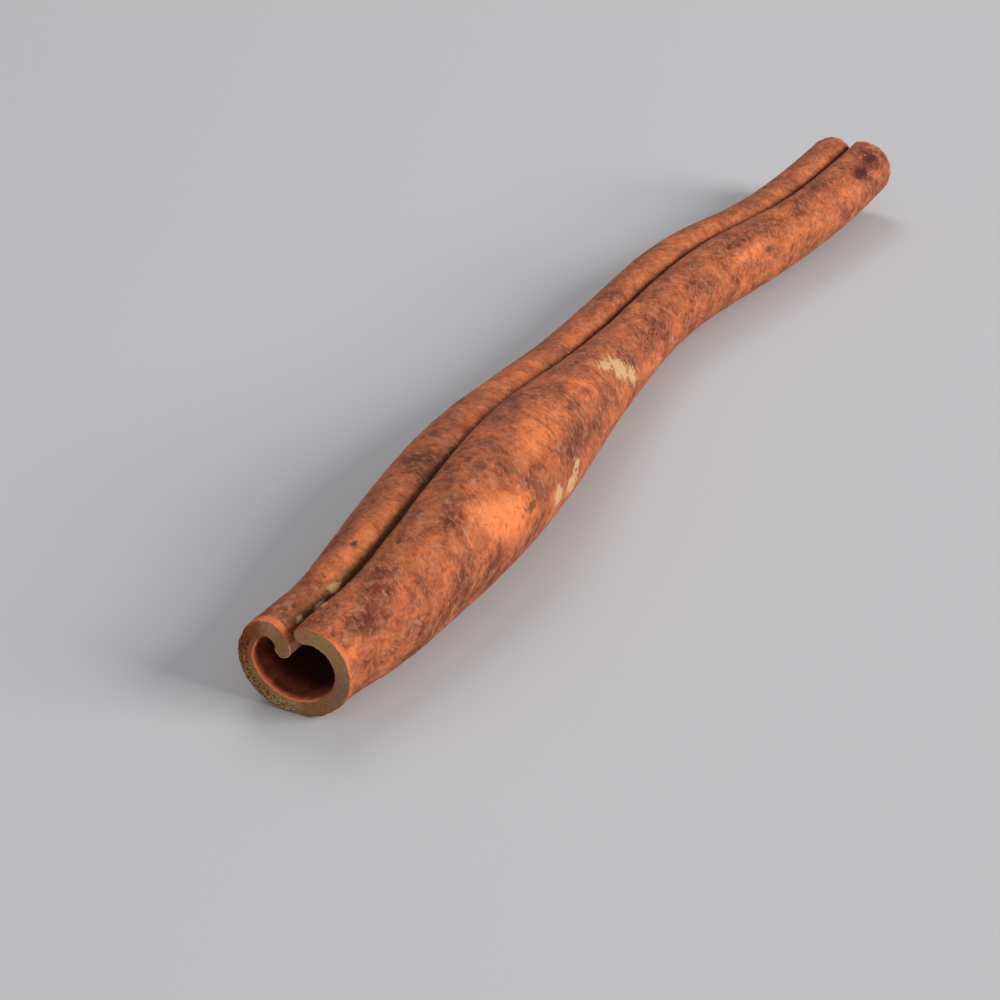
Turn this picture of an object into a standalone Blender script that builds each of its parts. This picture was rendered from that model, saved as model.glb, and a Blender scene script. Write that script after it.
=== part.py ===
"""One cinnamon stick: a sheet of bark rolled in from both edges into two curls that meet in a groove on top.

X runs from the near end to the far end, Y to the left, Z up, and the origin is under the middle of the
stick, on the surface that it lies on. A cross-section has its own axes: across, to the right from the
groove, and up, from the underside.
"""

from math import cos, radians, sin, sqrt

import bmesh
import bpy
import numpy as np
from mathutils import Vector, noise

# Driving dimensions in metres
LENGTH = 0.150
BARK = 0.00175
GROOVE = 0.0005
GROOVE_OPENS, GROOVE_REACH = 0.00038, 0.005
FLAT_DEPTH = 0.0003

# Outer radii of the two curls where the stick is thin, and what the belly, the knuckle and the near end add
RIGHT_CURL = 0.00411
LEFT_CURL = 0.00416
BELLY_AT, BELLY_REACH = 0.0385, 0.0271
BELLY_RIGHT, BELLY_LEFT = 0.00236, 0.00155
KNUCKLE_AT, KNUCKLE_REACH = 0.108, 0.013
KNUCKLE_SWELL = 0.00039
NEAR_END_LEFT, NEAR_END_REACH = 0.00019, 0.0111

# How tightly the sheet is rolled, at the near end and further on: angles in degrees from the right, and
# the radius of the turned-in left edge as a share of the left curl's
ROLL_CHANGE = 0.0118
HOOK_SHARE = (0.575, 0.62)
LIP_ANGLE = (100.9, 107.9)
LIP_OVER_BELLY = 16.5
RIGHT_SLOPE = (39.2, 66.9)
LEFT_SLOPE = (39.0, 72.6)
LEFT_TURN = (135.9, 92.0)
HOOK_TIP = (0.9, -20.0)

# How the stick bows to the left along its length, and how far its two ends lift
BOW_LEAN = 0.00335
BOW_AT, BOW_REACH, BOW_SIZE = 0.0690, 0.0539, 0.00531
KINK_AT, KINK_REACH, KINK_SIZE = 0.0993, 0.0228, 0.00285
TOE_REACH, TOE_SIZE = 0.00725, 0.0015
LIFT_FROM, LIFT_HEIGHT = 0.100, 0.0018
NEAR_LIFT, NEAR_LIFT_REACH = 0.0001, 0.009

# The near end is cut a little askew: this much further along for each metre to the right, and for each
# metre above the middle
CUT_SLANT_RIGHT, CUT_SLANT_UP = 0.038, 0.055
CUT_MIDDLE, CUT_REACH = 0.005, 0.012

# Shallow dents and ridges that drying leaves on the bark, except next to the near end
DENT_DEPTH = 0.00012
DENT_LENGTH, DENT_WIDTH = 0.016, 0.0035
DENTS_FROM = 0.008

STATIONS = 46
RIGHT_STEPS, UNDER_STEPS, LEFT_STEPS, HOOK_STEPS = 15, 9, 11, 9
EDGE_STEPS = 3
SHARP_ANGLE = 50.0
BARK_COLOUR = (0.36, 0.105, 0.035, 1.0)
BARK_ROUGHNESS = 0.62


def bump(along, at, reach):
    """A smooth rise from 0 to 1 and back, centred at one place along the stick."""
    return np.exp(-(((along - at) / reach) ** 2))


def right_curl(along):
    belly = BELLY_RIGHT * bump(along, BELLY_AT, BELLY_REACH)
    knuckle = KNUCKLE_SWELL * bump(along, KNUCKLE_AT, KNUCKLE_REACH)
    return RIGHT_CURL + belly + knuckle


def left_curl(along):
    belly = BELLY_LEFT * bump(along, BELLY_AT, BELLY_REACH)
    knuckle = KNUCKLE_SWELL * bump(along, KNUCKLE_AT, KNUCKLE_REACH)
    return LEFT_CURL + belly + knuckle + NEAR_END_LEFT * bump(along, 0.0, NEAR_END_REACH)


def from_end(along, pair):
    """A value that changes from the first of the pair at the near end to the second further on."""
    at_end, further_on = pair
    return further_on + (at_end - further_on) * bump(along, 0.0, ROLL_CHANGE)


def bow(along):
    """How far the groove lies to the left of a straight line."""
    return (
        BOW_LEAN * along / LENGTH
        + BOW_SIZE * bump(along, BOW_AT, BOW_REACH)
        + KINK_SIZE * bump(along, KINK_AT, KINK_REACH)
        + TOE_SIZE * bump(along, 0.0, TOE_REACH)
    )


def lift(along):
    past = max(0.0, along - LIFT_FROM) / (LENGTH - LIFT_FROM)
    return LIFT_HEIGHT * past**2 + NEAR_LIFT * bump(along, 0.0, NEAR_LIFT_REACH)


def facing(angle):
    return np.array([cos(radians(angle)), sin(radians(angle))])


def rolled_sheet(along):
    """Middle line of the sheet as four tangent arcs from the right edge to the left one, with its normals.

    The groove's place comes third. The underside's radius is the one that leaves the groove's width
    between the rounded right edge and the turned-in left one.
    """
    hook = from_end(along, HOOK_SHARE) * left_curl(along)
    right = right_curl(along) - BARK / 2
    left = left_curl(along) - BARK / 2
    tucked = hook - BARK / 2
    gap = GROOVE + GROOVE_OPENS * bump(along, 0.0, GROOVE_REACH)
    lip = from_end(along, LIP_ANGLE) + LIP_OVER_BELLY * bump(along, BELLY_AT, BELLY_REACH)
    right_end = -from_end(along, RIGHT_SLOPE)
    left_start = from_end(along, LEFT_SLOPE) - 180.0
    turn = from_end(along, LEFT_TURN) - 360.0
    tip = from_end(along, HOOK_TIP) - 360.0

    # The hook's centre moves by this for each metre of the underside's radius, from this place at none
    moves = facing(left_start) - facing(right_end)
    at_none = right * facing(right_end) - left * facing(left_start) + (left - tucked) * facing(turn)
    from_hook = right * facing(lip) - at_none
    apart = hook + gap + BARK / 2
    under = (
        from_hook @ moves
        + sqrt((from_hook @ moves) ** 2 - (moves @ moves) * (from_hook @ from_hook - apart**2))
    ) / (moves @ moves)

    under_centre = (right - under) * facing(right_end)
    left_centre = under_centre + (under - left) * facing(left_start)
    hook_centre = left_centre + (left - tucked) * facing(turn)
    arcs = (
        (np.zeros(2), right, lip, right_end, RIGHT_STEPS),
        (under_centre, under, right_end, left_start, UNDER_STEPS),
        (left_centre, left, left_start, turn, LEFT_STEPS),
        (hook_centre, tucked, turn, tip, HOOK_STEPS),
    )
    middle, normals = [], []
    for centre, radius, first, last, steps in arcs:
        angles = np.linspace(first, last, steps)
        for angle in angles if not middle else angles[1:]:
            middle.append(centre + radius * facing(angle))
            normals.append(facing(angle))
    groove = hook_centre + (middle[0] - hook_centre) * (hook + gap / 2) / apart
    return np.array(middle), np.array(normals), groove


def edge(middle, outwards, along_sheet):
    """The rounded edge of the sheet, from its outer side to its inner side."""
    angles = np.linspace(90.0, -90.0, EDGE_STEPS + 2)[1:-1]
    swing = [sin(radians(angle)) * outwards + cos(radians(angle)) * along_sheet for angle in angles]
    return [middle + BARK / 2 * step for step in swing]


def dent(along, across, up):
    """Shallow relief, longer along the stick than round it."""
    place = Vector((along / DENT_LENGTH, across / DENT_WIDTH, up / DENT_WIDTH))
    return DENT_DEPTH * noise.noise(place) * (1.0 - bump(along, 0.0, DENTS_FROM))


def section(along):
    """Closed outline of one cross-section: outer wall, left edge, inner wall back, right edge."""
    middle, normals, groove = rolled_sheet(along)
    outer = middle + normals * BARK / 2
    inner = middle - normals * BARK / 2
    for point, normal in zip(outer, normals):
        point += normal * dent(along, *point)
    left_edge = edge(middle[-1], normals[-1], np.array([normals[-1][1], -normals[-1][0]]))
    right_edge = edge(middle[0], normals[0], np.array([-normals[0][1], normals[0][0]]))
    outline = np.array([*outer, *left_edge, *inner[::-1], *right_edge[::-1]])
    outline[:, 0] -= groove[0]
    outline[:, 1] -= outline[:, 1].min() + FLAT_DEPTH
    outline[:, 1] = np.maximum(outline[:, 1], 0.0)
    return outline


def stick_points():
    """All cross-sections in place, as an array of stations, points and coordinates."""
    stations = []
    for along in np.linspace(0.0, LENGTH, STATIONS):
        outline = section(along)
        place = np.empty((len(outline), 3))
        slant = CUT_SLANT_RIGHT * outline[:, 0] + CUT_SLANT_UP * (outline[:, 1] - CUT_MIDDLE)
        place[:, 0] = along + slant * bump(along, 0.0, CUT_REACH)
        place[:, 1] = bow(along) - outline[:, 0]
        place[:, 2] = lift(along) + outline[:, 1]
        stations.append(place)
    points = np.array(stations)
    low = points.min(axis=(0, 1))
    high = points.max(axis=(0, 1))
    return points - [(low[0] + high[0]) / 2, (low[1] + high[1]) / 2, low[2]]


def end_faces(ring, walls):
    """The cut end as a strip of quads between the outer and the inner wall, with a fan at each edge."""
    count = len(ring)
    faces = [
        (ring[k], ring[k + 1], ring[count - EDGE_STEPS - 2 - k], ring[count - EDGE_STEPS - 1 - k])
        for k in range(walls - 1)
    ]
    faces.append(tuple(ring[walls - 1 : walls + EDGE_STEPS + 1]))
    faces.append((ring[0], ring[count - EDGE_STEPS - 1], *ring[count - EDGE_STEPS :]))
    return faces


def build_stick():
    points = stick_points()
    walls = (points.shape[1] - 2 * EDGE_STEPS) // 2
    model = bmesh.new()
    rings = [[model.verts.new(place) for place in station] for station in points]
    for near, far in zip(rings, rings[1:]):
        for k in range(len(near)):
            model.faces.new((near[k - 1], near[k], far[k], far[k - 1]))
    for face in end_faces(rings[0], walls) + end_faces(rings[-1], walls):
        model.faces.new(face)
    bmesh.ops.recalc_face_normals(model, faces=model.faces)
    bmesh.ops.triangulate(model, faces=model.faces)

    mesh = bpy.data.meshes.new("cinnamon_stick")
    model.to_mesh(mesh)
    model.free()
    mesh.shade_smooth()
    mesh.set_sharp_from_angle(angle=radians(SHARP_ANGLE))
    return mesh


def bark_material():
    material = bpy.data.materials.new("bark")
    material.use_nodes = True
    shader = material.node_tree.nodes["Principled BSDF"]
    shader.inputs["Base Color"].default_value = BARK_COLOUR
    shader.inputs["Roughness"].default_value = BARK_ROUGHNESS
    shader.inputs["Metallic"].default_value = 0.0
    return material


def main():
    for old in list(bpy.data.objects):
        bpy.data.objects.remove(old)
    mesh = build_stick()
    mesh.materials.append(bark_material())
    stick = bpy.data.objects.new("cinnamon_stick", mesh)
    bpy.context.scene.collection.objects.link(stick)


main()
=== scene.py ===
"""The looks of one cinnamon stick on a pale surface: the relief and colours of its bark and its cut ends.

The stick is a sheet of bark rolled in from both edges. Along it runs "along", from the near end to the far
end. "Around" follows the sheet from its right edge, under the stick, to its left edge, and "depth" goes
through the bark, from the outer wall to the inner one. A cross-section has its own axes: across, to the
right from the groove, and up, from the underside. Sizes are in metres, and in the materials in millimetres.
"""

from math import cos, radians, sin, sqrt

import bmesh
import bpy
import numpy as np
from mathutils import Euler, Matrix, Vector, noise


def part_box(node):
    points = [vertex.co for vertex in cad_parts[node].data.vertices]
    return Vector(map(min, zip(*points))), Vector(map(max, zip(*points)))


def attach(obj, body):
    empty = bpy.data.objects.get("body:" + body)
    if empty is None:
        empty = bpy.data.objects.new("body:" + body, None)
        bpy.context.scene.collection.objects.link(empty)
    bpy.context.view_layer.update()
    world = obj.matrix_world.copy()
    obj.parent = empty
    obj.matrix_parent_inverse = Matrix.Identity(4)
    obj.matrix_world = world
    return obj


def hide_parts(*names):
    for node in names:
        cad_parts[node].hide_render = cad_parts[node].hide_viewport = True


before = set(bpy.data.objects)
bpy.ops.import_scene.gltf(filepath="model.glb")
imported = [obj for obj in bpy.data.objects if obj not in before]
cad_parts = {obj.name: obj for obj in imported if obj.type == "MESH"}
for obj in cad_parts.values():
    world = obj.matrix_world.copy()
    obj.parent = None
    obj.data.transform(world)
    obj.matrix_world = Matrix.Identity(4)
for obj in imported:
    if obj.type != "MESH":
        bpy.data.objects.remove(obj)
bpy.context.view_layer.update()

MM = 0.001
OUTER, INNER, CUT = 0, 1, 2

# The rolled sheet, as in the solid
LENGTH = 0.150
BARK = 0.00175
GROOVE = 0.0005
GROOVE_OPENS, GROOVE_REACH = 0.00038, 0.005
FLAT_DEPTH = 0.0003
RIGHT_CURL = 0.00411
LEFT_CURL = 0.00416
BELLY_AT, BELLY_REACH = 0.0385, 0.0271
BELLY_RIGHT, BELLY_LEFT = 0.00236, 0.00155
KNUCKLE_AT, KNUCKLE_REACH = 0.108, 0.013
KNUCKLE_SWELL = 0.00039
NEAR_END_LEFT, NEAR_END_REACH = 0.00019, 0.0111
ROLL_CHANGE = 0.0118
HOOK_SHARE = (0.575, 0.62)
LIP_ANGLE = (100.9, 107.9)
LIP_OVER_BELLY = 16.5
RIGHT_SLOPE = (39.2, 66.9)
LEFT_SLOPE = (39.0, 72.6)
LEFT_TURN = (135.9, 92.0)
HOOK_TIP = (0.9, -20.0)
BOW_LEAN = 0.00335
BOW_AT, BOW_REACH, BOW_SIZE = 0.0690, 0.0539, 0.00531
KINK_AT, KINK_REACH, KINK_SIZE = 0.0993, 0.0228, 0.00285
TOE_REACH, TOE_SIZE = 0.00725, 0.0015
LIFT_FROM, LIFT_HEIGHT = 0.100, 0.0018
NEAR_LIFT, NEAR_LIFT_REACH = 0.0001, 0.009
CUT_SLANT_RIGHT, CUT_SLANT_UP = 0.038, 0.055
CUT_MIDDLE, CUT_REACH = 0.005, 0.012
DENT_DEPTH = 0.00012
DENT_LENGTH, DENT_WIDTH = 0.016, 0.0035
DENTS_FROM = 0.008

# The sheet's width, edge to edge, where the stick is of middling thickness: around is a share of it
SHEET_WIDTH = 0.036

# How finely the sheet is divided: steps of its four arcs, layers through the bark, and stations along it,
# which crowd together towards both cut ends
RIGHT_STEPS, UNDER_STEPS, LEFT_STEPS, HOOK_STEPS = 52, 32, 38, 30
LAYERS = 8
STATIONS = 284
END_CROWDING, END_CROWD_REACH = 6.0, 0.0012
STEPS_PER_STATION = 20
SHARP_ANGLE = 60.0

# Relief of the outer wall: wrinkles along the stick, small lumps, and crumbling next to the cuts
WRINKLE_HEIGHT, WRINKLE_LENGTH, WRINKLE_WIDTH = 0.00006, 0.0045, 0.0009
LUMP_HEIGHT, LUMP_SIZE = 0.00005, 0.0009
CRUMBLE_HEIGHT, CRUMBLE_SIZE, CRUMBLE_REACH = 0.00010, 0.00034, 0.0006
WRINKLE_SEED, LUMP_SEED, CRUMBLE_SEED = 3.0, 7.0, 11.0

# Relief of the inner wall, and of the cut faces across the bark, which dies out from the cut inwards. The
# walls round into the cut faces over their rims
INNER_HEIGHT, INNER_LENGTH, INNER_WIDTH = 0.00009, 0.007, 0.0011
CUT_HEIGHT, CUT_GRAIN, CUT_GIVES_WAY, LEAST_GIVE = 0.00011, 0.00042, 0.0005, 0.01
INNER_SEED, CUT_SEED = 17.0, 23.0
OUTER_RIM, INNER_RIM = 0.00007, 0.00016

# Marks on the outer wall, each at a place along and around with its reach along and around, in millimetres.
# Fields come with how much more orange (above 0) or more maroon (below 0) the bark is there
FIELDS = (
    (75.0, 29.5, 90.0, 5.0, 0.05),
    (12.0, 33.0, 4.0, 2.0, 0.10),
    (2.0, 5.6, 1.4, 0.9, 0.32),
    (5.0, 4.4, 3.6, 1.3, -0.17),
    (10.0, 2.6, 2.0, 1.3, -0.15),
    (13.0, 4.2, 2.0, 0.7, 0.08),
    (18.0, 4.0, 2.4, 0.7, 0.12),
    (15.0, 8.6, 9.0, 1.6, -0.12),
    (22.5, 3.8, 1.8, 0.6, -0.24),
    (24.5, 2.6, 1.6, 1.0, -0.12),
    (26.0, 5.8, 4.0, 1.4, 0.32),
    (29.0, 7.4, 3.2, 1.4, 0.26),
    (24.0, 9.6, 4.0, 1.0, -0.10),
    (34.0, 6.8, 2.4, 1.0, -0.17),
    (40.0, 4.9, 5.0, 0.9, 0.15),
    (42.0, 3.0, 5.0, 0.8, 0.08),
    (46.5, 6.8, 3.2, 1.0, -0.16),
    (45.5, 4.8, 1.0, 0.4, -0.10),
    (50.5, 4.9, 2.0, 0.5, -0.24),
    (60.0, 5.8, 5.0, 1.2, -0.06),
    (71.5, 5.4, 1.6, 0.7, -0.22),
    (76.0, 7.7, 4.5, 1.0, 0.14),
    (80.0, 4.8, 6.0, 1.2, -0.16),
    (85.0, 2.4, 6.0, 0.7, 0.04),
    (95.0, 2.4, 5.0, 0.7, 0.06),
    (101.5, 8.5, 2.4, 1.0, -0.12),
    (108.5, 4.8, 3.6, 0.8, 0.24),
    (108.0, 8.0, 4.0, 1.2, 0.10),
    (108.5, 2.7, 5.0, 1.2, -0.18),
    (116.0, 2.8, 3.0, 1.2, -0.10),
    (121.0, 6.2, 8.0, 1.8, 0.14),
    (131.0, 1.8, 4.0, 1.2, -0.10),
    (136.0, 5.5, 5.0, 1.2, 0.08),
    (144.0, 4.1, 5.0, 1.6, -0.20),
    (146.0, 2.0, 3.0, 0.8, -0.14),
    (4.0, 33.0, 3.6, 1.4, -0.12),
    (12.5, 32.2, 4.0, 1.2, 0.14),
    (19.0, 32.5, 4.0, 1.2, 0.10),
    (17.5, 30.2, 4.0, 0.6, -0.12),
    (31.5, 32.4, 2.2, 1.6, -0.24),
    (52.0, 32.2, 8.0, 1.2, 0.05),
    (67.0, 32.6, 2.0, 1.0, -0.08),
    (74.0, 32.8, 2.4, 1.0, 0.10),
    (87.0, 32.0, 3.0, 1.4, -0.13),
    (100.0, 32.8, 9.0, 1.0, 0.08),
    (121.0, 32.6, 2.0, 1.4, -0.13),
    (138.0, 33.0, 6.0, 1.0, 0.06),
)
SCORCHES = ((141.4, 4.1, 2.0, 0.9), (145.8, 3.5, 1.8, 0.8))
SCUFFS = (
    (64.6, 4.0, 2.0, 0.9),
    (67.0, 5.0, 2.4, 1.7),
    (69.4, 6.4, 1.5, 1.5),
    (38.8, 9.2, 1.5, 1.0),
    (43.0, 9.5, 2.4, 0.9),
    (44.8, 8.4, 1.2, 0.5),
)
FLECKS = (
    (31.5, 1.8, 0.6, 0.40),
    (16.2, 1.3, 0.7, 0.30),
    (32.4, 7.8, 1.1, 0.45),
    (15.2, 32.2, 0.7, 0.35),
    (40.0, 30.5, 0.6, 0.35),
    (60.2, 1.8, 0.7, 0.40),
    (85.4, 0.8, 0.8, 0.35),
    (97.0, 30.5, 0.7, 0.45),
    (112.7, 5.5, 0.9, 0.60),
    (129.5, 30.4, 0.7, 0.35),
    (72.0, 14.0, 1.2, 0.50),
    (52.0, 20.0, 1.0, 0.60),
    (118.0, 17.0, 1.1, 0.50),
    (21.0, 25.0, 0.9, 0.50),
)
MOSSES = (
    (90.3, 4.3, 1.0, 0.40),
    (97.2, 5.4, 0.6, 0.50),
    (100.5, 5.6, 0.7, 0.45),
    (23.2, 33.2, 1.2, 0.35),
    (33.0, 5.0, 0.7, 0.60),
    (62.0, 16.0, 2.0, 0.80),
    (30.0, 22.0, 1.5, 0.90),
)
CRUMBS = ((8.3, 33.8, 1.1, 0.50), (5.6, 34.3, 0.9, 0.35), (2.7, 34.3, 0.6, 0.28), (4.3, 0.0, 0.5, 0.25))
CRUMB_HEIGHT, SCUFF_HEIGHT, FLECK_DEPTH = 0.00014, 0.00005, 0.00007

# The worn orange band behind the near cut: how wide it is over the left and the right curl, its middle and
# reach around, and its least width, in millimetres
RIM_LEFT = (0.95, 32.6, 2.4)
RIM_RIGHT = (0.60, 5.3, 1.8)
RIM_LEAST = 0.05

# Where around the turned-in left edge begins to be frayed and pale, in millimetres; the pale there is partly
# painted light
FRAYED_AND_LIT_FROM = 35.3

# The inner wall counts as this far from the groove, in millimetres, so that neither the groove's stain nor
# its painted shade reaches it
NOT_OUTSIDE = 9.0

# The camera stands in front of the near end, above it
CAMERA_PLACE = (-0.219381, -0.103767, 0.118391)
CAMERA_TURN = (61.4115, 0.0, -61.3274)
CAMERA_LENS, CAMERA_SENSOR, CAMERA_NEAR = 80.0, 36.0, 0.01

# Soft lights: the direction that each comes from, in degrees (round from +X towards +Y, and up), how far it
# stands, its side, its power in watts and its colour
LIGHTS = {
    "key": (-80.0, 25.0, 1.20, 0.60, 15.6, (1.0, 0.985, 0.965)),
    "back": (40.0, 48.0, 1.20, 0.60, 3.9, (1.0, 0.99, 0.98)),
    "front": (192.0, 22.0, 1.00, 0.70, 1.2, (1.0, 0.985, 0.97)),
}
SKY_COLOUR, SKY_STRENGTH = (0.97, 0.98, 1.0, 1.0), 0.345
FLOOR_SIDE = 8.0
FLOOR_COLOUR = (0.525, 0.525, 0.542, 1.0)
FLOOR_ROUGHNESS, FLOOR_SHINE = 0.9, 0.1


def bump(along, at, reach):
    """A smooth rise from 0 to 1 and back, centred at one place along the stick."""
    return np.exp(-(((along - at) / reach) ** 2))


def right_curl(along):
    belly = BELLY_RIGHT * bump(along, BELLY_AT, BELLY_REACH)
    knuckle = KNUCKLE_SWELL * bump(along, KNUCKLE_AT, KNUCKLE_REACH)
    return RIGHT_CURL + belly + knuckle


def left_curl(along):
    belly = BELLY_LEFT * bump(along, BELLY_AT, BELLY_REACH)
    knuckle = KNUCKLE_SWELL * bump(along, KNUCKLE_AT, KNUCKLE_REACH)
    return LEFT_CURL + belly + knuckle + NEAR_END_LEFT * bump(along, 0.0, NEAR_END_REACH)


def from_end(along, pair):
    """A value that changes from the first of the pair at the near end to the second further on."""
    at_end, further_on = pair
    return further_on + (at_end - further_on) * bump(along, 0.0, ROLL_CHANGE)


def bow(along):
    """How far the groove lies to the left of a straight line."""
    return (
        BOW_LEAN * along / LENGTH
        + BOW_SIZE * bump(along, BOW_AT, BOW_REACH)
        + KINK_SIZE * bump(along, KINK_AT, KINK_REACH)
        + TOE_SIZE * bump(along, 0.0, TOE_REACH)
    )


def lift(along):
    past = max(0.0, along - LIFT_FROM) / (LENGTH - LIFT_FROM)
    return LIFT_HEIGHT * past**2 + NEAR_LIFT * bump(along, 0.0, NEAR_LIFT_REACH)


def facing(angle):
    return np.array([cos(radians(angle)), sin(radians(angle))])


def rolled_sheet(along):
    """Middle line of the sheet as four tangent arcs from the right edge to the left one.

    Beside its points come its normals, the distance around, and the groove's place.
    """
    hook = from_end(along, HOOK_SHARE) * left_curl(along)
    right = right_curl(along) - BARK / 2
    left = left_curl(along) - BARK / 2
    tucked = hook - BARK / 2
    gap = GROOVE + GROOVE_OPENS * bump(along, 0.0, GROOVE_REACH)
    lip = from_end(along, LIP_ANGLE) + LIP_OVER_BELLY * bump(along, BELLY_AT, BELLY_REACH)
    right_end = -from_end(along, RIGHT_SLOPE)
    left_start = from_end(along, LEFT_SLOPE) - 180.0
    turn = from_end(along, LEFT_TURN) - 360.0
    tip = from_end(along, HOOK_TIP) - 360.0

    # The hook's centre moves by this for each metre of the underside's radius, from this place at none
    moves = facing(left_start) - facing(right_end)
    at_none = right * facing(right_end) - left * facing(left_start) + (left - tucked) * facing(turn)
    from_hook = right * facing(lip) - at_none
    apart = hook + gap + BARK / 2
    under = (
        from_hook @ moves
        + sqrt((from_hook @ moves) ** 2 - (moves @ moves) * (from_hook @ from_hook - apart**2))
    ) / (moves @ moves)

    under_centre = (right - under) * facing(right_end)
    left_centre = under_centre + (under - left) * facing(left_start)
    hook_centre = left_centre + (left - tucked) * facing(turn)
    arcs = (
        (np.zeros(2), right, lip, right_end, RIGHT_STEPS),
        (under_centre, under, right_end, left_start, UNDER_STEPS),
        (left_centre, left, left_start, turn, LEFT_STEPS),
        (hook_centre, tucked, turn, tip, HOOK_STEPS),
    )
    middle, normals = [], []
    for centre, radius, first, last, steps in arcs:
        angles = np.linspace(first, last, steps)
        for angle in angles if not middle else angles[1:]:
            middle.append(centre + radius * facing(angle))
            normals.append(facing(angle))
    middle = np.array(middle)
    steps = np.linalg.norm(np.diff(middle, axis=0), axis=1)
    around = np.concatenate([[0.0], np.cumsum(steps)])
    around *= SHEET_WIDTH / around[-1]
    groove = hook_centre + (middle[0] - hook_centre) * (hook + gap / 2) / apart
    return middle, np.array(normals), around, groove


def relief(height, size, along, around, seed):
    """Smooth random relief. Its size is a pair: along the stick, and around it."""
    return height * noise.noise(Vector((along / size[0], around / size[1], seed)))


def dent(along, across, up):
    """The shallow dents that the solid has too."""
    place = Vector((along / DENT_LENGTH, across / DENT_WIDTH, up / DENT_WIDTH))
    return DENT_DEPTH * noise.noise(place) * (1.0 - bump(along, 0.0, DENTS_FROM))


def from_cut(along):
    return min(along, LENGTH - along)


def outer_relief(along, around, across, up):
    """How far the outer wall stands out at one place."""
    crumbling = np.exp(-from_cut(along) / CRUMBLE_REACH)
    return (
        dent(along, across, up)
        + relief(WRINKLE_HEIGHT, (WRINKLE_LENGTH, WRINKLE_WIDTH), along, around, WRINKLE_SEED)
        + relief(LUMP_HEIGHT, (LUMP_SIZE, LUMP_SIZE), along, around, LUMP_SEED)
        + relief(CRUMBLE_HEIGHT, (CRUMBLE_SIZE, CRUMBLE_SIZE), along, around, CRUMBLE_SEED) * crumbling
    )


def marks_relief(along, around):
    """How far the crumbs and scuffs stand out and the flecks sink in. The place is in millimetres."""
    return (
        CRUMB_HEIGHT * blots(along, around, CRUMBS)
        + SCUFF_HEIGHT * blots(along, around, SCUFFS)
        - FLECK_DEPTH * blots(along, around, FLECKS)
    )


def inner_relief(along, around):
    return relief(INNER_HEIGHT, (INNER_LENGTH, INNER_WIDTH), along, around, INNER_SEED)


def rim(width, along):
    """How far a wall draws back where it rounds into a cut face."""
    short = max(0.0, 1.0 - from_cut(along) / width)
    return width * (1.0 - sqrt(1.0 - short**2))


def round_edges(grid, sheet, normals, around):
    """Fills the grid's first and last columns: the sheet's two edges, rounded from wall to wall."""
    swing = np.linspace(0.0, np.pi, LAYERS + 1)
    last = len(grid) - 1
    for edge, beside, turn in ((0, 1, -1.0), (last, last - 1, 1.0)):
        normal = normals[beside - 1]
        onward = turn * np.array([normal[1], -normal[0]])
        outer, inner = grid[beside, 0], grid[beside, -1]
        reach = np.linalg.norm(outer - inner) / 2
        grid[edge] = (outer + inner) / 2 + reach * (
            np.cos(swing)[:, None] * normal + np.sin(swing)[:, None] * onward
        )
        grid[edge, 0], grid[edge, -1] = outer, inner
        sheet[edge, :, 1] = around[beside - 1] + turn * BARK / 2 * np.sin(swing)


def section(along):
    """One cross-section as a grid: columns from edge to edge of the sheet, rows through the bark.

    With it comes each point's place on the sheet: along, around, depth, and how far off the groove it is.
    """
    middle, normals, around, groove = rolled_sheet(along)
    grid = np.empty((len(middle) + 2, LAYERS + 1, 2))
    sheet = np.empty((len(middle) + 2, LAYERS + 1, 4))
    depth = np.linspace(0.0, BARK, LAYERS + 1)
    sheet[:, :, 0] = along
    sheet[:, :, 2] = depth
    through = (depth / BARK)[:, None]
    marks = marks_relief(along / MM, around / MM)
    for k in range(len(middle)):
        outer = middle[k] + normals[k] * BARK / 2
        inner = middle[k] - normals[k] * BARK / 2
        raised = outer_relief(along, around[k], *outer) + marks[k] - rim(OUTER_RIM, along)
        outer = outer + normals[k] * raised
        inner = inner - normals[k] * (inner_relief(along, around[k]) - rim(INNER_RIM, along))
        grid[k + 1] = outer * (1.0 - through) + inner * through
        sheet[k + 1, :, 1] = around[k]
    round_edges(grid, sheet, normals, around)

    sheet[:, :, 3] = np.linalg.norm(grid - groove, axis=2)
    grid -= [groove[0], (middle[:, 1] + normals[:, 1] * BARK / 2).min() + FLAT_DEPTH]
    grid[:, :, 1] = np.maximum(grid[:, :, 1], 0.0)
    return grid, sheet


def stations():
    """Distances along the stick."""
    fine = np.linspace(0.0, LENGTH, STEPS_PER_STATION * STATIONS)
    crowding = 1.0 + END_CROWDING * np.exp(-np.minimum(fine, LENGTH - fine) / END_CROWD_REACH)
    counted = np.cumsum(crowding) - crowding[0]
    return np.interp(np.linspace(0.0, counted[-1], STATIONS), counted, fine)


def placed(along, grid, sheet):
    """A cross-section's points in the stick's own axes, before they are centred."""
    points = np.empty((*grid.shape[:2], 3))
    slant = CUT_SLANT_RIGHT * grid[:, :, 0] + CUT_SLANT_UP * (grid[:, :, 1] - CUT_MIDDLE)
    points[:, :, 0] = along + slant * bump(along, 0.0, CUT_REACH)
    points[:, :, 1] = bow(along) - grid[:, :, 0]
    points[:, :, 2] = lift(along) + grid[:, :, 1]

    gives_way = np.exp(-from_cut(along) / CUT_GIVES_WAY)
    if gives_way > LEAST_GIVE:
        seed = CUT_SEED + round(along, 1)
        for column, row in np.ndindex(*grid.shape[:2]):
            around, depth = sheet[column, row, 1:3]
            rough = relief(CUT_HEIGHT, (CUT_GRAIN, CUT_GRAIN), around, depth, seed)
            points[column, row, 0] += rough * gives_way
    return points


def ring(grid):
    """The outline of a section's grid: outer wall, left edge, inner wall back, right edge back."""
    return np.concatenate([grid[1:-1, 0], grid[-1, 1:-1], grid[-2:0:-1, -1], grid[0, -2:0:-1]])


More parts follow.
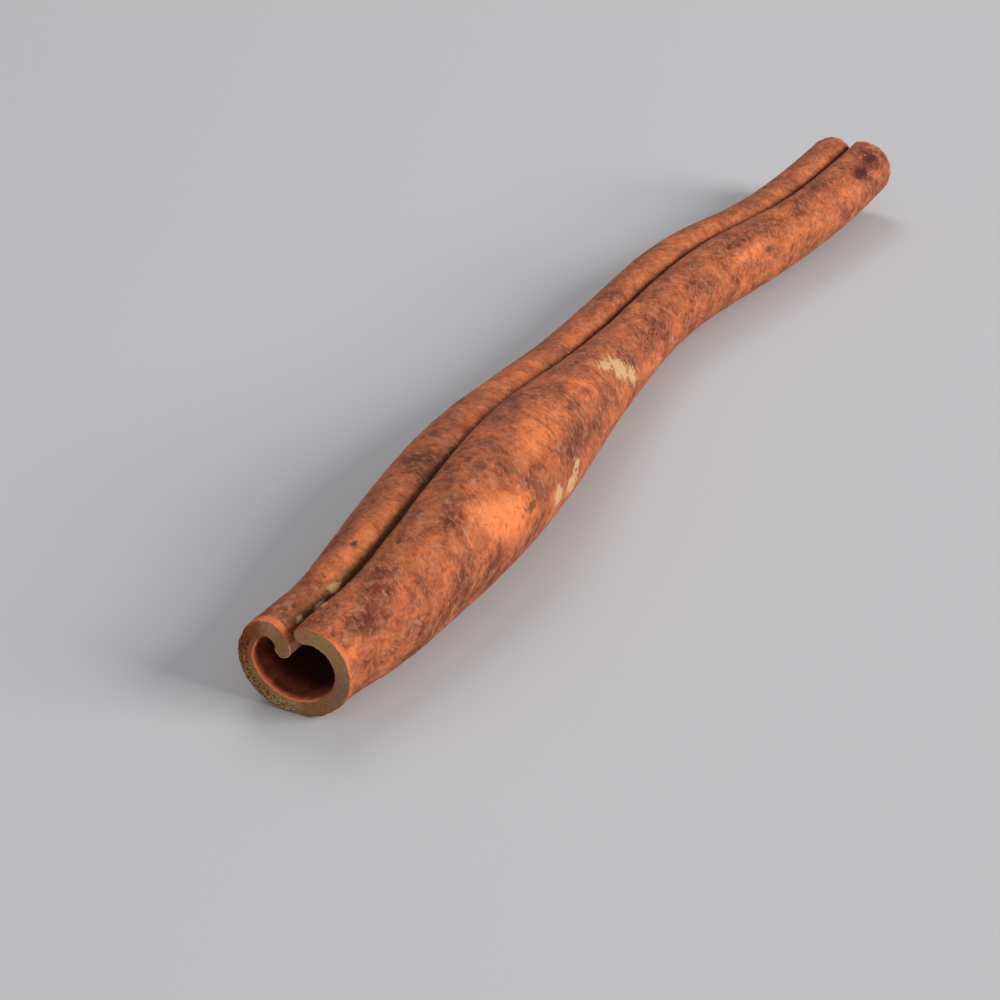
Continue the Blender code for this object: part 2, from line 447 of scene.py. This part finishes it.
def cut_faces(outline, first_new):
    """Corner numbers of a cut face's polygons, from its ring's numbers and the next free number."""
    columns = (len(outline) - 2 * (LAYERS - 1)) // 2
    inside = LAYERS - 1
    left, inner, right = columns, columns + inside, 2 * columns + inside
    numbers = np.empty((columns + 2, LAYERS + 1), int)
    numbers[1:-1, 0] = outline[:columns]
    numbers[1:-1, -1] = outline[inner:right][::-1]
    numbers[-1, 1:-1] = outline[left:inner]
    numbers[0, 1:-1] = outline[right:][::-1]
    numbers[[0, -1], 0] = numbers[[1, -2], 0]
    numbers[[0, -1], -1] = numbers[[1, -2], -1]
    numbers[1:-1, 1:-1] = first_new + np.arange(columns * inside).reshape(columns, inside)
    faces = []
    for column, row in np.ndindex(columns + 1, LAYERS):
        corners = numbers[[column, column + 1, column + 1, column], [row, row, row + 1, row + 1]]
        faces.append(list(dict.fromkeys(corners.tolist())))
    return faces


def stick_mesh():
    """The whole skin of the stick: points, their places on the sheet, faces, and each face's material."""
    points, sheets, faces, kinds = [], [], [], []
    rings = []
    for along in stations():
        grid, sheet = section(along)
        place = placed(along, grid, sheet)
        rings.append(sum(map(len, points)) + np.arange(len(ring(grid))))
        points.append(ring(place))
        sheets.append(ring(sheet))
        if along in (0.0, LENGTH):
            first_new = rings[-1][-1] + 1
            faces += cut_faces(rings[-1], first_new)
            kinds += [CUT] * (len(faces) - len(kinds))
            points.append(place[1:-1, 1:-1].reshape(-1, 3))
            sheets.append(sheet[1:-1, 1:-1].reshape(-1, 4))
    columns = len(rings[0]) // 2 - (LAYERS - 1)
    around_ring = np.full(len(rings[0]), OUTER)
    around_ring[columns + LAYERS : 2 * columns + LAYERS - 1] = INNER
    for near, far in zip(rings, rings[1:]):
        faces += np.stack([near, np.roll(near, 1), np.roll(far, 1), far], axis=1).tolist()
        kinds += around_ring.tolist()
    return np.concatenate(points), np.concatenate(sheets), faces, kinds


def centred(points):
    """The points moved to where the solid is: its middle along and across, and its lowest point."""
    low, high = (np.array(corner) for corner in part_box("cinnamon_stick"))
    middle = (points.min(axis=0) + points.max(axis=0)) / 2
    return points + [*((low + high) / 2 - middle)[:2], low[2] - points[:, 2].min()]


def build_stick():
    points, sheets, faces, kinds = stick_mesh()
    mesh = bpy.data.meshes.new("cinnamon_stick")
    mesh.from_pydata(centred(points).tolist(), [], faces)
    for material in (outer_bark(), inner_bark(), cut_bark()):
        mesh.materials.append(material)
    mesh.polygons.foreach_set("material_index", kinds)
    paint(mesh, sheets)

    model = bmesh.new()
    model.from_mesh(mesh)
    bmesh.ops.recalc_face_normals(model, faces=model.faces)
    model.to_mesh(mesh)
    model.free()
    mesh.shade_smooth()
    mesh.set_sharp_from_angle(angle=radians(SHARP_ANGLE))
    stick = bpy.data.objects.new("cinnamon_stick_bark", mesh)
    bpy.context.scene.collection.objects.link(stick)
    return stick


def blot(along, around, mark):
    """How strongly one mark covers a place, from 0 to 1. Everything here is in millimetres."""
    at_along, at_around, reach_along, reach_around = mark[:4]
    return np.exp(-(((along - at_along) / reach_along) ** 2) - ((around - at_around) / reach_around) ** 2)


def blots(along, around, marks):
    """The strongest of several marks at each place."""
    return np.max([blot(along, around, mark) for mark in marks], axis=0)


def worn_width(around):
    """How wide the worn band behind the near cut is, in millimetres."""
    widths = [
        width * np.exp(-(((around - middle) / reach) ** 2)) for width, middle, reach in (RIM_LEFT, RIM_RIGHT)
    ]
    return np.maximum(np.max(widths, axis=0), RIM_LEAST)


def paint(mesh, sheets):
    """Keeps each point's place on the sheet with the mesh, and the marks that its materials read."""
    along, around, depth, from_groove = (sheets / MM).T
    place = mesh.attributes.new("sheet", "FLOAT_VECTOR", "POINT")
    place.data.foreach_set("vector", (sheets[:, :3] / MM).ravel())
    outside = depth < BARK / MM / 2
    layers = {
        "warmth": sum(mark[4] * blot(along, around, mark) for mark in FIELDS),
        "scorch": blots(along, around, SCORCHES),
        "scuff": blots(along, around, SCUFFS),
        "fleck": blots(along, around, FLECKS),
        "moss": blots(along, around, MOSSES),
        "crumb": blots(along, around, CRUMBS),
        "worn": worn_width(around),
    }
    layers = {name: np.where(outside, strength, 0.0) for name, strength in layers.items()}
    layers["groove"] = np.where(outside, from_groove, NOT_OUTSIDE)
    for name, strength in layers.items():
        layer = mesh.attributes.new(name, "FLOAT", "POINT")
        layer.data.foreach_set("value", strength)


class Wiring:
    """Adds nodes to a new material. A method gives the socket that carries its result on."""

    def __init__(self, name):
        self.material = bpy.data.materials.new(name)
        self.material.use_nodes = True
        self.tree = self.material.node_tree
        self.shader = self.tree.nodes["Principled BSDF"]

    def node(self, kind, **settings):
        made = self.tree.nodes.new(kind)
        for name, value in settings.items():
            setattr(made, name, value)
        return made

    def feed(self, socket, value):
        if isinstance(value, bpy.types.NodeSocket):
            self.tree.links.new(value, socket)
        else:
            socket.default_value = value

    def place(self):
        return self.node("ShaderNodeAttribute", attribute_name="sheet").outputs["Vector"]

    def layer(self, name):
        return self.node("ShaderNodeAttribute", attribute_name=name).outputs["Fac"]

    def part(self, vector, axis):
        split = self.node("ShaderNodeSeparateXYZ")
        self.feed(split.inputs[0], vector)
        return split.outputs[axis]

    def stretched(self, vector, along, around, depth=1.0):
        """The place measured in steps of these lengths, so that a pattern on it is drawn out by them."""
        made = self.node("ShaderNodeVectorMath", operation="DIVIDE")
        self.feed(made.inputs[0], vector)
        self.feed(made.inputs[1], (along, around, depth))
        return made.outputs[0]

    def turned(self, vector, angle):
        """The place turned on the sheet by an angle in degrees."""
        made = self.node("ShaderNodeVectorRotate", rotation_type="Z_AXIS")
        self.feed(made.inputs["Vector"], vector)
        self.feed(made.inputs["Angle"], radians(angle))
        return made.outputs[0]

    def strokes(self, vector, angle, length, width):
        """Streaks of this length and width that lie at an angle to the stick's length."""
        return self.cloud(self.stretched(self.turned(vector, angle), length, width), 1.0, 3.0, 0.6, 0.6)

    def cloud(self, vector, size, detail=3.0, roughness=0.55, distortion=0.0):
        made = self.node("ShaderNodeTexNoise")
        self.feed(made.inputs["Vector"], vector)
        self.feed(made.inputs["Scale"], 1.0 / size)
        self.feed(made.inputs["Detail"], detail)
        self.feed(made.inputs["Roughness"], roughness)
        self.feed(made.inputs["Distortion"], distortion)
        return made.outputs["Fac"]

    def grains(self, vector, size):
        """Distance from the middle of the nearest grain, in grain sizes."""
        made = self.node("ShaderNodeTexVoronoi")
        self.feed(made.inputs["Vector"], vector)
        self.feed(made.inputs["Scale"], 1.0 / size)
        return made.outputs["Distance"]

    def ramp(self, factor, *stops):
        made = self.node("ShaderNodeValToRGB")
        elements = made.color_ramp.elements
        while len(elements) < len(stops):
            elements.new(1.0)
        for element, (position, colour) in zip(elements, stops):
            element.position = position
            element.color = (*colour, 1.0)
        self.feed(made.inputs["Fac"], factor)
        return made.outputs["Color"]

    def blend(self, below, above, factor):
        """One value fading into another."""
        made = self.node("ShaderNodeMix", data_type="FLOAT")
        self.feed(made.inputs[0], factor)
        self.feed(made.inputs[2], below)
        self.feed(made.inputs[3], above)
        return made.outputs[0]

    def times(self, *values):
        total = values[0]
        for value in values[1:]:
            total = self.maths("MULTIPLY", total, value)
        return total

    def sum(self, *values):
        total = values[0]
        for value in values[1:]:
            total = self.maths("ADD", total, value)
        return total

    def mixed(self, shares, **patterns):
        """Patterns added up, each by its share."""
        return self.sum(*(self.times(patterns[name], share) for name, share in shares.items()))

    def maths(self, operation, *values):
        made = self.node("ShaderNodeMath", operation=operation)
        for socket, value in zip(made.inputs, values):
            self.feed(socket, value)
        return made.outputs[0]

    def rise(self, value, low, high, top=1.0):
        """Smoothly from 0 where the value is low to top where it is high. Low may be above high."""
        made = self.node("ShaderNodeMapRange", interpolation_type="SMOOTHSTEP")
        for name, given in (("Value", value), ("From Min", low), ("From Max", high), ("To Max", top)):
            self.feed(made.inputs[name], given)
        return made.outputs["Result"]

    def over(self, below, above, factor):
        """One colour laid over another."""
        made = self.node("ShaderNodeMix", data_type="RGBA")
        self.feed(made.inputs["Factor"], factor)
        for name, colour in (("A", below), ("B", above)):
            socket = next(s for s in made.inputs if s.name == name and s.type == "RGBA")
            self.feed(socket, colour if isinstance(colour, bpy.types.NodeSocket) else (*colour, 1.0))
        return next(s for s in made.outputs if s.type == "RGBA")

    def raised(self, height, reach):
        """A bump whose height, from 0 to 1, stands for this reach in metres."""
        made = self.node("ShaderNodeBump")
        self.feed(made.inputs["Strength"], 1.0)
        self.feed(made.inputs["Distance"], reach)
        self.feed(made.inputs["Height"], height)
        return made.outputs["Normal"]

    def finish(self, colour, roughness, normal, shine):
        self.feed(self.shader.inputs["Specular IOR Level"], shine)
        self.feed(self.shader.inputs["Base Color"], colour)
        self.feed(self.shader.inputs["Roughness"], roughness)
        self.feed(self.shader.inputs["Normal"], normal)
        return self.material


DARK_MAROON = (0.118, 0.025, 0.011)
MAROON = (0.205, 0.051, 0.023)
RUST = (0.345, 0.086, 0.033)
ORANGE_BROWN = (0.480, 0.123, 0.042)
ORANGE = (0.640, 0.168, 0.052)
BRIGHT_ORANGE = (0.725, 0.202, 0.064)
# Pale pink, partly the bark's own colour and partly painted sheen on the maroon bark
PINKISH = (0.400, 0.140, 0.082)
# Pale dust colour, also used as painted highlight: the glints on the bark are painted with it
DUST_AND_HIGHLIGHT = (0.600, 0.285, 0.165)
TAN_BROWN = (0.315, 0.106, 0.035)
CREAM = (0.560, 0.335, 0.165)
SCORCHED = (0.072, 0.017, 0.010)
FLECK_GREEN = (0.072, 0.044, 0.024)
MOSS = (0.200, 0.105, 0.034)
# Painted shade: the near-black line down the groove between the two curls
GROOVE_SHADE = (0.060, 0.022, 0.009)
# Olive-brown beside the groove: partly stain, partly painted shade
OLIVE_STAIN_AND_SHADE = (0.160, 0.078, 0.028)
CRUMB = (0.500, 0.290, 0.130)
WORN_ORANGE = (0.640, 0.170, 0.062)
WORN_TAN = (0.560, 0.240, 0.130)
KHAKI = (0.700, 0.370, 0.195)

# The bark's colour by its tone
BARK_TONES = (
    (0.22, DARK_MAROON),
    (0.36, MAROON),
    (0.49, RUST),
    (0.62, ORANGE_BROWN),
    (0.76, ORANGE),
    (0.90, BRIGHT_ORANGE),
)

# How much each pattern counts in the bark's tone, what the tone is moved by, and how much each pattern
# counts in the relief
TONE_SHARES = {"broad": 0.75, "mottle": 0.55, "strokes": 0.42, "speckle": 0.34, "warmth": 1.15}
TONE_SHIFT = -0.545
RELIEF_SHARES = {"strokes": 0.5, "creases": 0.9, "fine": 0.3, "mottle": 0.6, "scuff": 0.3}

# Strokes on the bark: their angle to the stick's length in degrees, their length and their width
LENGTHWAYS, SLANTING, CROSSING = (14.0, 1.2, 0.60), (-30.0, 1.1, 0.55), (62.0, 1.1, 0.60)
DABS, FLAKES = (40.0, 0.80, 0.45), (34.0, 0.95, 0.42)
CREASES = ((-38.0, 2.0, 0.85), (58.0, 1.9, 0.80))

# Heights of the finest relief in metres, and how strongly bark and cut bark shine
BARK_BUMP, HOLLOW_BUMP, CUT_BUMP = 0.00018, 0.00015, 0.00020
BARK_SHINE, CUT_SHINE = 0.10, 0.08


def bark_strokes(wire, place, mottle, chooser):
    """Strokes that turn from place to place, and the crossing ones alone."""
    lengthways = wire.strokes(place, *LENGTHWAYS)
    slanting = wire.strokes(place, *SLANTING)
    crossing = wire.strokes(place, *CROSSING)
    strokes = wire.blend(lengthways, slanting, wire.rise(chooser, 0.38, 0.62))
    return wire.blend(strokes, crossing, wire.rise(mottle, 0.50, 0.70, 0.7)), crossing


def bark_creases(wire, place, chooser):
    """Longer curved creases, aslant in some places and across the stick in others."""
    slanting, crossing = (
        wire.cloud(wire.stretched(wire.turned(place, angle), length, width), 1.0, 2.0, 0.5, 1.0)
        for angle, length, width in CREASES
    )
    return wire.blend(slanting, crossing, wire.rise(chooser, 0.45, 0.56))


def bark_tone(wire, place, strokes, mottle):
    """How orange the bark is, from about 0.2 where it is dark maroon to 0.9 where it is bright orange."""
    broad = wire.cloud(wire.stretched(place, 1.5, 1.0), 3.0, 2.0, 0.5, 0.4)
    speckle = wire.cloud(wire.stretched(place, 1.4, 1.0), 0.42, 3.0, 0.6, 0.5)
    warmth = wire.layer("warmth")
    mixed = wire.mixed(
        TONE_SHARES, broad=broad, mottle=mottle, strokes=strokes, speckle=speckle, warmth=warmth
    )
    return wire.sum(mixed, TONE_SHIFT)


def bark_colour(wire, place, tone, crossing, creases):
    """The bark's own colours, with pale pink streaks and pale dust over them, both partly painted highlight,
    and dark lines; along the creases the dark lines are painted shade and the pale edges painted highlight.
    """
    colour = wire.ramp(tone, *BARK_TONES)
    tanned = wire.cloud(wire.stretched(place, 1.4, 1.0), 1.7, 3.0, 0.6, 0.6)
    tanned = wire.times(wire.rise(tanned, 0.50, 0.72, 0.45), wire.rise(tone, 0.80, 0.60))
    colour = wire.over(colour, TAN_BROWN, tanned)
    # Pale pink streaks on the darker bark: partly painted sheen
    pale = wire.times(wire.rise(crossing, 0.50, 0.76, 0.6), wire.rise(tone, 0.70, 0.44))
    colour = wire.over(colour, PINKISH, pale)
    blooms = wire.cloud(wire.stretched(place, 1.3, 1.0), 1.3, 4.0, 0.65, 0.6)
    dabs = wire.strokes(place, *DABS)
    # Pale blooms and dabs: partly dust, partly painted highlight standing in for glints
    colour = wire.over(colour, DUST_AND_HIGHLIGHT, wire.rise(blooms, 0.46, 0.72, 0.24))
    colour = wire.over(colour, DUST_AND_HIGHLIGHT, wire.rise(dabs, 0.54, 0.68, 0.30))
    colour = wire.over(colour, DARK_MAROON, wire.rise(dabs, 0.44, 0.32, 0.36))
    # Painted shade and highlight along the creases: dark in their hollows, pale on their ridges
    colour = wire.over(colour, DARK_MAROON, wire.rise(creases, 0.42, 0.31, 0.42))
    return wire.over(colour, DUST_AND_HIGHLIGHT, wire.rise(creases, 0.58, 0.70, 0.32))


def with_marks(wire, colour, torn, scuff):
    """Moss, scorch marks, flecks and pale scuffs laid over the bark, with torn edges."""
    moss = wire.rise(wire.sum(wire.layer("moss"), torn), 0.80, 1.50, 0.6)
    scorch = wire.rise(wire.sum(wire.layer("scorch"), wire.times(torn, 1.6)), 1.02, 1.45, 0.95)
    fleck = wire.rise(wire.sum(wire.layer("fleck"), torn), 0.85, 1.35, 0.9)
    for mark, factor in ((MOSS, moss), (SCORCHED, scorch), (FLECK_GREEN, fleck), (CREAM, scuff)):
        colour = wire.over(colour, mark, factor)
    return colour


def with_groove(wire, colour, along, torn):
    """Olive stain with painted shade beside the groove, a painted dark shade line along it, and the crumbs
    in it.
    """
    from_groove = wire.sum(wire.layer("groove"), wire.times(torn, 0.9), -0.45)
    # Olive band beside the groove towards the near end: partly stain, partly painted shade
    stain_and_shade = wire.times(wire.rise(from_groove, 2.1, 1.3), wire.rise(along, 24.0, 10.0, 0.65))
    colour = wire.over(colour, OLIVE_STAIN_AND_SHADE, wire.times(stain_and_shade, wire.rise(along, 1.0, 3.0)))
    # Painted shade in the groove: a dark line along the valley between the curls, narrower further along
    off_line = wire.sum(from_groove, wire.rise(along, 22.0, 50.0, 0.38))
    painted_groove_shade = wire.times(wire.rise(off_line, 1.60, 0.95, 0.85), wire.rise(along, 0.8, 3.0))
    colour = wire.over(colour, GROOVE_SHADE, painted_groove_shade)
    return wire.over(colour, CRUMB, wire.rise(wire.sum(wire.layer("crumb"), torn), 0.75, 1.35, 0.9))


def with_worn_ends(wire, colour, along, around, torn):
    """The worn bands at both cuts, and the frayed left edge of the sheet at the near one, whose pale colour
    is partly painted light.
    """
    ragged = wire.sum(along, wire.times(torn, 0.7), -0.35)
    near_edge = wire.maths("SUBTRACT", ragged, wire.layer("worn"))
    colour = wire.over(colour, WORN_ORANGE, wire.rise(near_edge, 0.25, -0.20, 0.85))
    far_edge = wire.sum(along, wire.times(torn, 1.6))
    colour = wire.over(colour, WORN_TAN, wire.rise(far_edge, LENGTH / MM + 0.2, LENGTH / MM + 0.7, 0.85))
    # Pale khaki on the turned-in left edge near the cut: frayed bark, partly painted light
    frayed_and_lit = wire.rise(wire.sum(around, torn), FRAYED_AND_LIT_FROM + 0.3, FRAYED_AND_LIT_FROM + 0.8)
    return wire.over(colour, KHAKI, wire.times(frayed_and_lit, wire.rise(along, 3.0, 1.0)))


def outer_bark():
    wire = Wiring("outer_bark")
    place = wire.place()
    along, around = wire.part(place, "X"), wire.part(place, "Y")
    mottle = wire.cloud(wire.stretched(place, 1.5, 1.0), 1.0, 3.0, 0.6, 0.8)
    chooser = wire.cloud(place, 2.6, 1.0)
    fine = wire.cloud(wire.stretched(place, 0.35, 0.16), 1.0, 3.0, 0.6)
    torn = wire.cloud(wire.stretched(place, 0.55, 0.32), 1.0, 3.0, 0.6)
    strokes, crossing = bark_strokes(wire, place, mottle, chooser)
    creases = bark_creases(wire, place, chooser)
    flakes = wire.strokes(place, *FLAKES)
    scuff = wire.rise(wire.sum(wire.times(wire.layer("scuff"), 0.56), flakes), 0.74, 0.90, 0.92)

    tone = bark_tone(wire, place, strokes, mottle)
    colour = bark_colour(wire, place, tone, crossing, creases)
    colour = with_marks(wire, colour, torn, scuff)
    colour = with_groove(wire, colour, along, torn)
    colour = with_worn_ends(wire, colour, along, around, torn)
    height = wire.mixed(
        RELIEF_SHARES, strokes=strokes, creases=creases, fine=fine, mottle=mottle, scuff=scuff
    )
    roughness = wire.sum(wire.rise(mottle, 0.25, 0.75, 0.20), 0.55)
    return wire.finish(colour, roughness, wire.raised(height, BARK_BUMP), BARK_SHINE)


# Near black for deep in the hollow: painted shade
HOLLOW_SHADE = (0.040, 0.008, 0.005)
HOLLOW_DARK = (0.150, 0.034, 0.018)
HOLLOW_RED = (0.330, 0.080, 0.036)
LIP_ORANGE = (0.860, 0.225, 0.098)


def inner_bark():
    wire = Wiring("inner_bark")
    place = wire.place()
    along, around = wire.part(place, "X"), wire.part(place, "Y")
    patches = wire.cloud(wire.stretched(place, 1.8, 1.2), 1.0, 3.0, 0.5)
    torn = wire.cloud(place, 0.8, 3.0, 0.6)
    colour = wire.ramp(patches, (0.36, HOLLOW_DARK), (0.66, HOLLOW_RED))
    # Painted shade: the hollow darkens to near black further in from each cut
    inwards = wire.maths("MINIMUM", along, wire.maths("SUBTRACT", LENGTH / MM, along))
    colour = wire.over(colour, HOLLOW_SHADE, wire.rise(inwards, 1.1, 4.0, 0.92))
    ragged = wire.sum(inwards, torn, -0.5)
    lower_left = wire.times(wire.rise(around, 11.0, 15.0), wire.rise(around, 32.0, 29.0))
    colour = wire.over(colour, LIP_ORANGE, wire.times(wire.rise(ragged, 0.9, 0.0, 0.95), lower_left))
    roughness = wire.sum(wire.rise(patches, 0.3, 0.7, 0.2), 0.5)
    return wire.finish(colour, roughness, wire.raised(patches, HOLLOW_BUMP), BARK_SHINE)


# Colours of the cut face from the right edge of the sheet round to its left edge, in millimetres around
CUT_COLOURS = (
    (0.5, (0.470, 0.225, 0.108)),
    (2.5, (0.440, 0.290, 0.112)),
    (7.4, (0.403, 0.210, 0.102)),
    (8.6, (0.350, 0.170, 0.125)),
    (11.2, (0.345, 0.162, 0.115)),
    (12.4, (0.342, 0.165, 0.063)),
    (16.0, (0.354, 0.171, 0.066)),
    (19.0, (0.860, 0.540, 0.280)),
    (22.5, (0.520, 0.245, 0.092)),
    (25.5, (0.600, 0.290, 0.100)),
    (28.0, (0.440, 0.104, 0.035)),
    (31.0, (0.281, 0.085, 0.037)),
    (33.0, (0.512, 0.238, 0.128)),
    (34.7, (0.378, 0.185, 0.090)),
)
CUT_OCHRE = (0.72, 0.47, 0.20)
CUT_PIT = (0.080, 0.032, 0.013)
CUT_OLIVE = (0.300, 0.165, 0.062)
CUT_PALE = (0.560, 0.330, 0.170)
CUT_EDGE = (0.150, 0.050, 0.022)
GRAIN_SIZE, GRIT_SIZE = 0.22, 0.24


def cut_bark():
    wire = Wiring("cut_bark")
    place = wire.place()
    around, depth = wire.part(place, "Y"), wire.part(place, "Z")
    blotches = wire.cloud(place, 0.9, 4.0, 0.6)
    shifted = wire.maths("DIVIDE", wire.sum(around, wire.times(blotches, 3.0), -1.5), SHEET_WIDTH / MM)
    colour = wire.ramp(shifted, *((at * MM / SHEET_WIDTH, colour) for at, colour in CUT_COLOURS))

    grain = wire.cloud(place, GRAIN_SIZE, 3.0, 0.6)
    grit = wire.grains(place, GRIT_SIZE)
    rough_side = wire.times(wire.rise(around, 15.0, 19.0), wire.rise(around, 31.0, 28.5))
    outer_part = wire.rise(wire.sum(depth, wire.times(blotches, 0.6)), 1.65, 1.25)
    rough_part = wire.times(rough_side, outer_part)
    colour = wire.over(colour, CUT_OLIVE, wire.times(rough_side, wire.rise(outer_part, 0.6, 0.1, 0.7)))
    colour = wire.over(colour, CUT_PIT, wire.rise(grain, 0.48, 0.32, 0.55))
    colour = wire.over(colour, CUT_PIT, wire.times(rough_part, wire.rise(grit, 0.38, 0.64, 0.75)))
    specks = wire.times(wire.rise(grit, 0.34, 0.12), wire.sum(wire.times(rough_part, 0.5), 0.12))
    colour = wire.over(colour, CUT_OCHRE, wire.times(specks, wire.rise(grain, 0.42, 0.60)))
    pale_side = wire.times(wire.rise(around, 7.0, 4.0), wire.rise(depth, 1.45, 1.62, 0.7))
    colour = wire.over(colour, CUT_PALE, pale_side)
    colour = wire.over(colour, CUT_EDGE, wire.rise(wire.sum(depth, wire.times(grain, 0.2)), 0.24, 0.10, 0.5))
    height = wire.sum(grain, wire.times(grit, rough_part, -1.6))
    roughness = wire.sum(wire.rise(grain, 0.3, 0.7, 0.15), 0.75)
    return wire.finish(colour, roughness, wire.raised(height, CUT_BUMP), CUT_SHINE)


def towards(turn, rise):
    """The direction at these angles in degrees: round from +X towards +Y, and up."""
    level = cos(radians(rise))
    return Vector((cos(radians(turn)) * level, sin(radians(turn)) * level, sin(radians(rise))))


def add_light(name, turn, rise, distance, side, power, colour):
    lamp = bpy.data.lights.new(name, "AREA")
    lamp.shape = "SQUARE"
    lamp.size = side
    lamp.energy = power
    lamp.color = colour
    light = bpy.data.objects.new(name, lamp)
    direction = towards(turn, rise)
    light.location = direction * distance
    light.rotation_euler = direction.to_track_quat("Z", "Y").to_euler()
    bpy.context.scene.collection.objects.link(light)


def add_sky():
    world = bpy.data.worlds.new("studio")
    world.use_nodes = True
    background = world.node_tree.nodes["Background"]
    background.inputs["Color"].default_value = SKY_COLOUR
    background.inputs["Strength"].default_value = SKY_STRENGTH
    bpy.context.scene.world = world


def add_floor():
    mesh = bpy.data.meshes.new("floor")
    half = FLOOR_SIDE / 2
    corners = [(-half, -half, 0.0), (half, -half, 0.0), (half, half, 0.0), (-half, half, 0.0)]
    mesh.from_pydata(corners, [], [(0, 1, 2, 3)])
    material = bpy.data.materials.new("floor")
    material.use_nodes = True
    shader = material.node_tree.nodes["Principled BSDF"]
    shader.inputs["Base Color"].default_value = FLOOR_COLOUR
    shader.inputs["Roughness"].default_value = FLOOR_ROUGHNESS
    shader.inputs["Specular IOR Level"].default_value = FLOOR_SHINE
    mesh.materials.append(material)
    floor = bpy.data.objects.new("floor", mesh)
    bpy.context.scene.collection.objects.link(floor)


def add_camera():
    camera = bpy.data.objects.new("camera", bpy.data.cameras.new("camera"))
    camera.data.lens = CAMERA_LENS
    camera.data.sensor_width = CAMERA_SENSOR
    camera.data.clip_start = CAMERA_NEAR
    camera.location = CAMERA_PLACE
    camera.rotation_euler = Euler([radians(angle) for angle in CAMERA_TURN])
    bpy.context.scene.collection.objects.link(camera)
    bpy.context.scene.camera = camera


stick = build_stick()
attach(stick, "root")
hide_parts("cinnamon_stick")
add_floor()
add_sky()
for name, settings in LIGHTS.items():
    add_light(name, *settings)
add_camera()
bpy.context.scene.view_settings.view_transform = "Standard"
